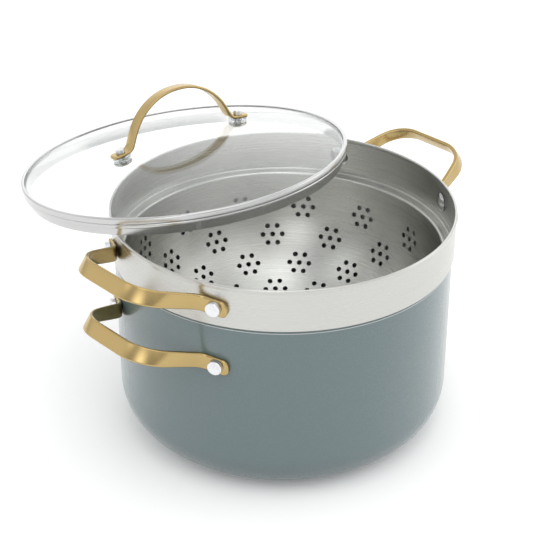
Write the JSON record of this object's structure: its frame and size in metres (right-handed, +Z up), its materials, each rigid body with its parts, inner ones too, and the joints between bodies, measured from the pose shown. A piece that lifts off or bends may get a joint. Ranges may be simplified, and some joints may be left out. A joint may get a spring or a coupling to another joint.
{
  "type": "cooking pot with steamer insert",
  "caption": "Deep cooking pot with loop handles, a perforated steel steamer insert seated on its rim and a domed glass lid with an arched handle, lying ajar on top.",
  "frame": {"origin": "middle of the pot's flat underside, on the surface it stands on", "axes": "+Z up along the pot's axis; the side handles of the pot and the steamer point along +X and -X; the lid lies ajar towards +Y"},
  "size_m": [0.3338, 0.3486, 0.2353],
  "materials": {
    "coated_aluminium": "satin",
    "brushed_steel": "satin",
    "polished_steel": "polished",
    "gold_steel": "satin",
    "rivet_metal": "satin",
    "clear_glass": "gloss",
    "grey_silicone": "matte"
  },
  "bodies": {
    "pot": {"pot_shell": "coated_aluminium", "pot_handle_right": "gold_steel", "pot_handle_left": "gold_steel", "pot_rivet_right_a": "rivet_metal", "pot_rivet_right_b": "rivet_metal", "pot_rivet_left_a": "rivet_metal", "pot_rivet_left_b": "rivet_metal"},
    "steamer": {"steamer_shell": "brushed_steel", "steamer_handle_right": "gold_steel", "steamer_handle_left": "gold_steel", "steamer_rivet_right_a": "rivet_metal", "steamer_rivet_right_b": "rivet_metal", "steamer_rivet_left_a": "rivet_metal", "steamer_rivet_left_b": "rivet_metal"},
    "lid": {"lid_glass": "clear_glass", "lid_rim": "polished_steel", "lid_handle": "gold_steel", "lid_washer_a": "grey_silicone", "lid_washer_b": "grey_silicone", "lid_gasket_a": "grey_silicone", "lid_gasket_b": "grey_silicone", "lid_rivet_a": "rivet_metal", "lid_rivet_b": "rivet_metal"}
  },
  "joints": [
    {"name": "steamer_lift", "type": "slide", "parent": "pot", "child": "steamer", "axis": [0, 0, 1], "range_m": [0, 0.14]},
    {"name": "lid_lift", "type": "slide", "parent": "steamer", "child": "lid", "axis": [0, 0, 1], "range_m": [0, 0.15]}
  ]
}
